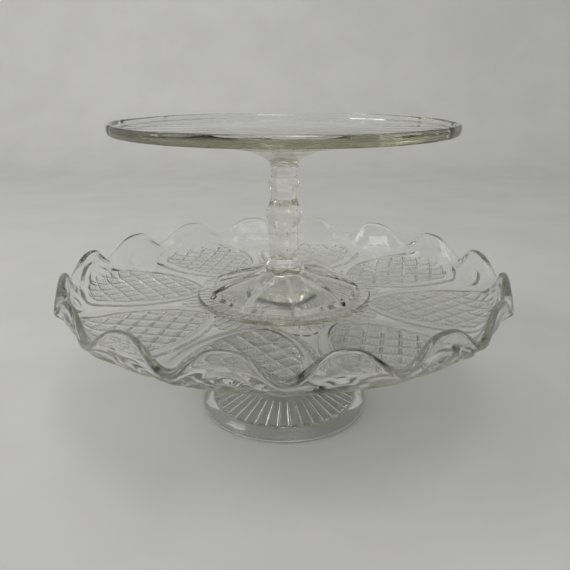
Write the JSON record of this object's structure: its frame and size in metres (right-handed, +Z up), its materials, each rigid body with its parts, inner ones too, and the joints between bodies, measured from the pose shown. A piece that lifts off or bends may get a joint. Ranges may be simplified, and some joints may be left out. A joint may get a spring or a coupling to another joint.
{
  "type": "tiered cake stand",
  "caption": "Pressed-glass cake stand on a fluted foot, with a scalloped plate that carries a smaller loose stand on a knopped stem.",
  "frame": {"origin": "centre of the large foot's base, on the table", "axes": "+Z up along the common axis of both stands; -Y is the front, where the hexagonal stem shows a flat side"},
  "size_m": [0.3, 0.3, 0.1995],
  "materials": {
    "large_glass": "clear fire-polished pressed glass with a faint grey-green tint",
    "small_glass": "clear fire-polished pressed glass with a faint straw-green tint"
  },
  "bodies": {
    "large_stand": {"large_pedestal": "large_glass", "large_wafer": "large_glass", "large_plate": "large_glass"},
    "small_stand": {"small_foot": "small_glass", "small_stem": "small_glass", "small_wafer": "small_glass", "small_plate": "small_glass"}
  },
  "joints": [
    {"name": "lift_off", "type": "slide", "parent": "large_stand", "child": "small_stand", "axis": [0, 0, 1], "range_m": [0, 0.15]}
  ]
}
